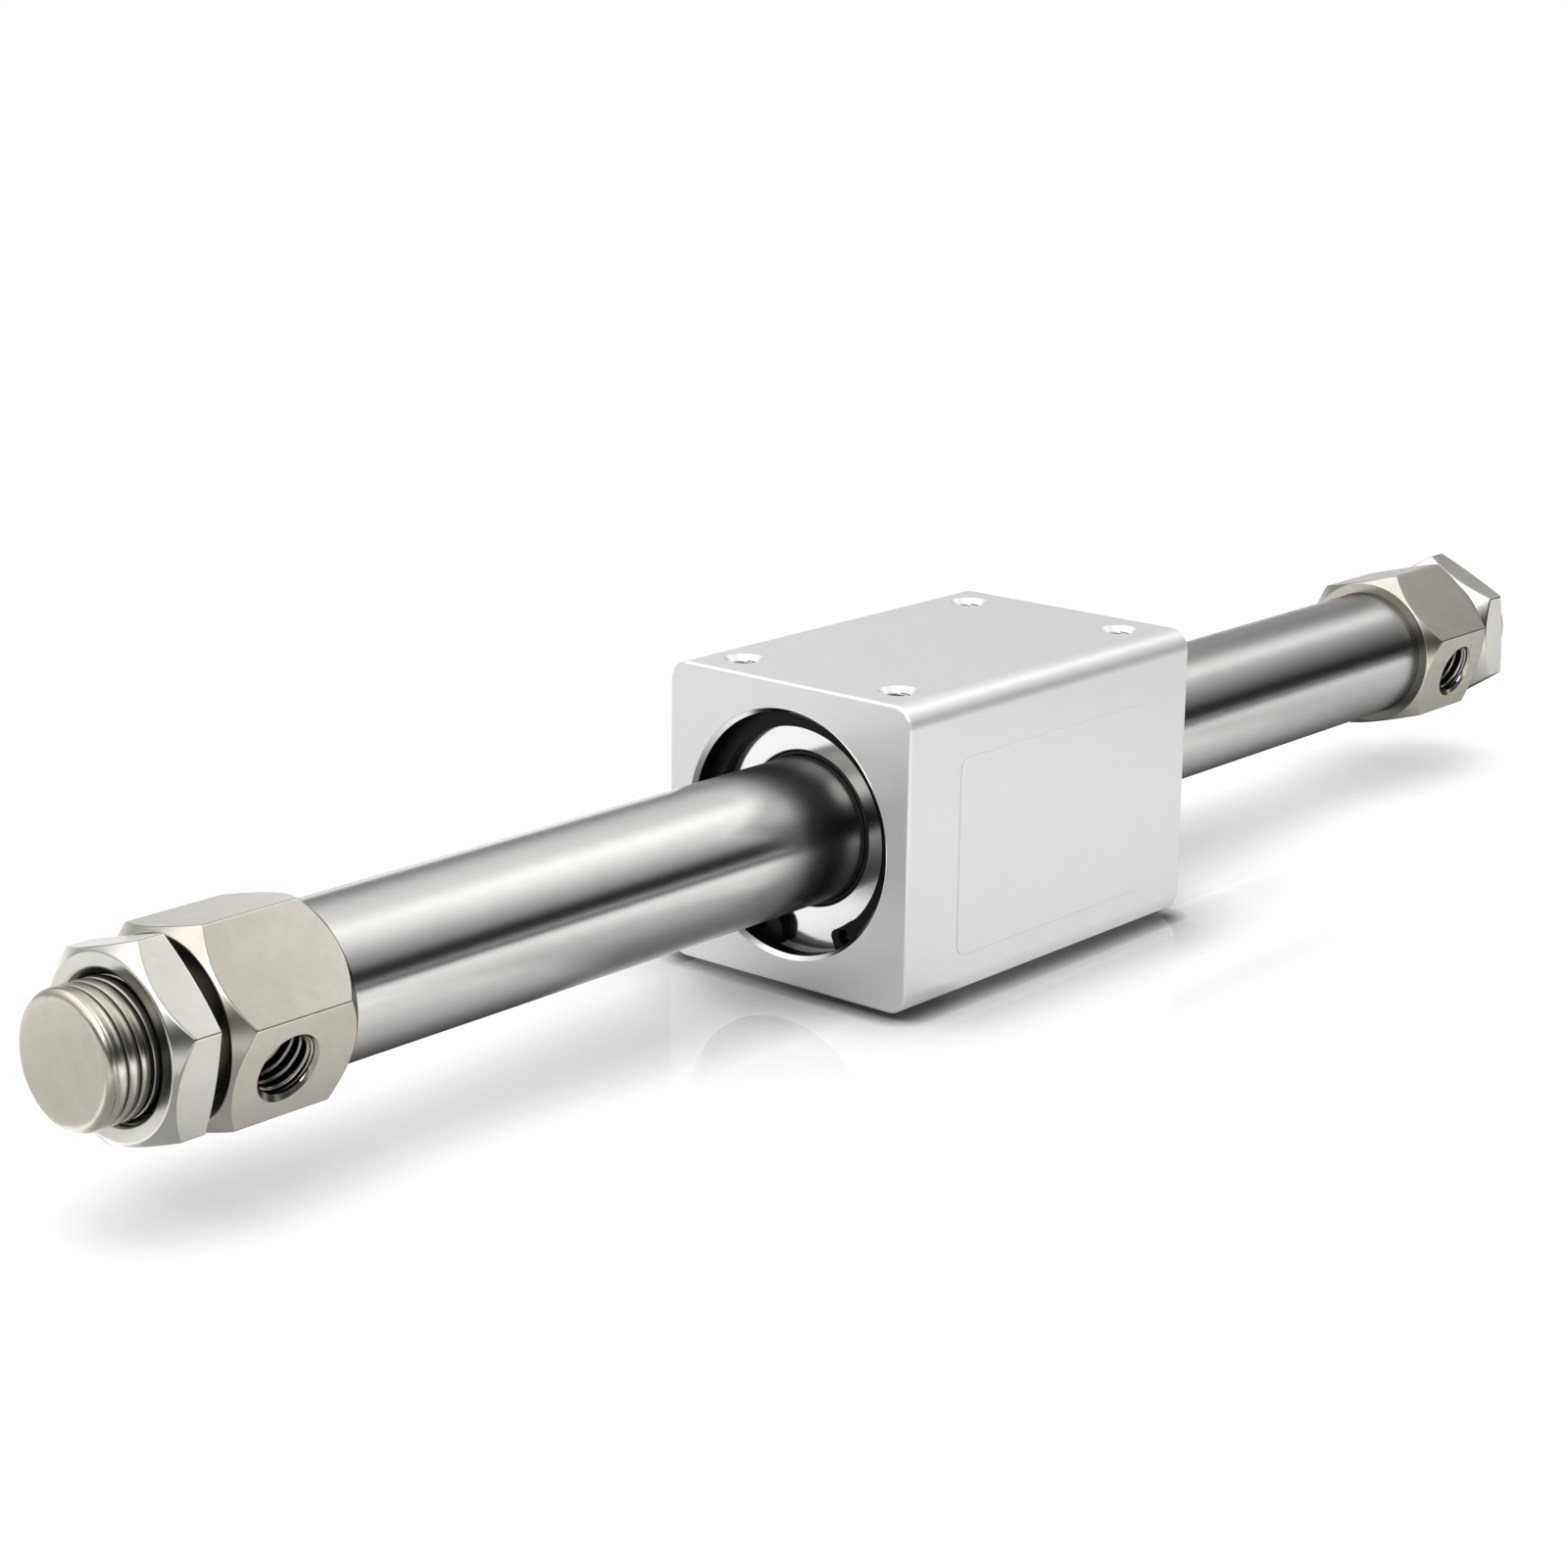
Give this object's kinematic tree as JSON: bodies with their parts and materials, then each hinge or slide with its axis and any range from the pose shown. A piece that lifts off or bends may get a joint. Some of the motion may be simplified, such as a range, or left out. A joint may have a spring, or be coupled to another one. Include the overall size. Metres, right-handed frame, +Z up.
{
  "type": "rodless pneumatic cylinder",
  "caption": "Rodless pneumatic cylinder: a square slider rides on a polished round tube between hexagonal head covers with side air ports, threaded noses and mounting nuts.",
  "frame": {"origin": "on the tube's axis, midway between the ends of the two threaded noses", "axes": "+X along the tube towards the head cover that is farther from the camera in the picture, +Z up through the slider's face with the four holes"},
  "size_m": [0.1796, 0.025, 0.025],
  "materials": {
    "tube_steel": "polished stainless steel with fine lines along the tube",
    "anodised_aluminium": "matte silver anodised",
    "cover_nickel": "satin nickel plated, turned and milled",
    "nut_nickel": "bright nickel plated",
    "ring_black": "black phosphated spring steel",
    "spacer_nickel": "bright nickel plated",
    "scraper_rubber": "black nitrile rubber",
    "seal_rubber": "black nitrile rubber",
    "bumper_urethane": "urethane rubber",
    "lube_felt": "oiled felt",
    "wear_resin": "plain bearing resin",
    "yoke_steel": "zinc plated rolled steel",
    "magnet_plate": "nickel plated magnet",
    "shaft_steel": "stainless steel",
    "piston_aluminium": "chromated aluminium"
  },
  "bodies": {
    "barrel": {"tube": "tube_steel", "left_head_cover": "cover_nickel", "left_tube_gasket": "seal_rubber", "left_bumper": "bumper_urethane", "right_head_cover": "cover_nickel", "right_tube_gasket": "seal_rubber", "right_bumper": "bumper_urethane"},
    "glide": {"left_outer_wear_ring": "wear_resin", "left_lube_retainer": "lube_felt", "left_scraper": "scraper_rubber", "right_outer_wear_ring": "wear_resin", "right_lube_retainer": "lube_felt", "right_scraper": "scraper_rubber"},
    "slider": {"slider_body": "anodised_aluminium", "left_retaining_ring": "ring_black", "left_spacer": "spacer_nickel", "right_retaining_ring": "ring_black", "right_spacer": "spacer_nickel", "outer_yoke_1": "yoke_steel", "outer_yoke_2": "yoke_steel", "outer_yoke_3": "yoke_steel", "outer_yoke_4": "yoke_steel", "outer_magnet_1": "magnet_plate", "outer_magnet_2": "magnet_plate", "outer_magnet_3": "magnet_plate"},
    "piston": {"piston_shaft": "shaft_steel", "left_piston": "piston_aluminium", "left_piston_seal": "seal_rubber", "left_piston_wear_ring": "wear_resin", "left_piston_nut": "shaft_steel", "right_piston": "piston_aluminium", "right_piston_seal": "seal_rubber", "right_piston_wear_ring": "wear_resin", "right_piston_nut": "shaft_steel", "inner_yoke_1": "yoke_steel", "inner_yoke_2": "yoke_steel", "inner_yoke_3": "yoke_steel", "inner_yoke_4": "yoke_steel", "inner_magnet_1": "magnet_plate", "inner_magnet_2": "magnet_plate", "inner_magnet_3": "magnet_plate"},
    "left_nut": {"left_mounting_nut": "nut_nickel"},
    "right_nut": {"right_mounting_nut": "nut_nickel"}
  },
  "joints": [
    {"name": "slider_travel", "type": "slide", "parent": "barrel", "child": "glide", "axis": [1, 0, 0], "range_m": [-0.0508, 0.0492]},
    {"name": "slider_turn", "type": "hinge", "parent": "glide", "child": "slider", "pos_m": [0.0008, 0, 0], "axis": [1, 0, 0], "continuous": true},
    {"name": "piston_travel", "type": "slide", "parent": "barrel", "child": "piston", "axis": [1, 0, 0], "range_m": [-0.0508, 0.0492]},
    {"name": "left_nut_travel", "type": "slide", "parent": "barrel", "child": "left_nut", "axis": [-1, 0, 0], "range_m": [-0.00098, 0.0037]},
    {"name": "right_nut_travel", "type": "slide", "parent": "barrel", "child": "right_nut", "axis": [1, 0, 0], "range_m": [-0.00073, 0.00395]}
  ],
  "couplings": [
    {"joint": "piston_travel", "follows": "slider_travel", "ratio": 1}
  ]
}
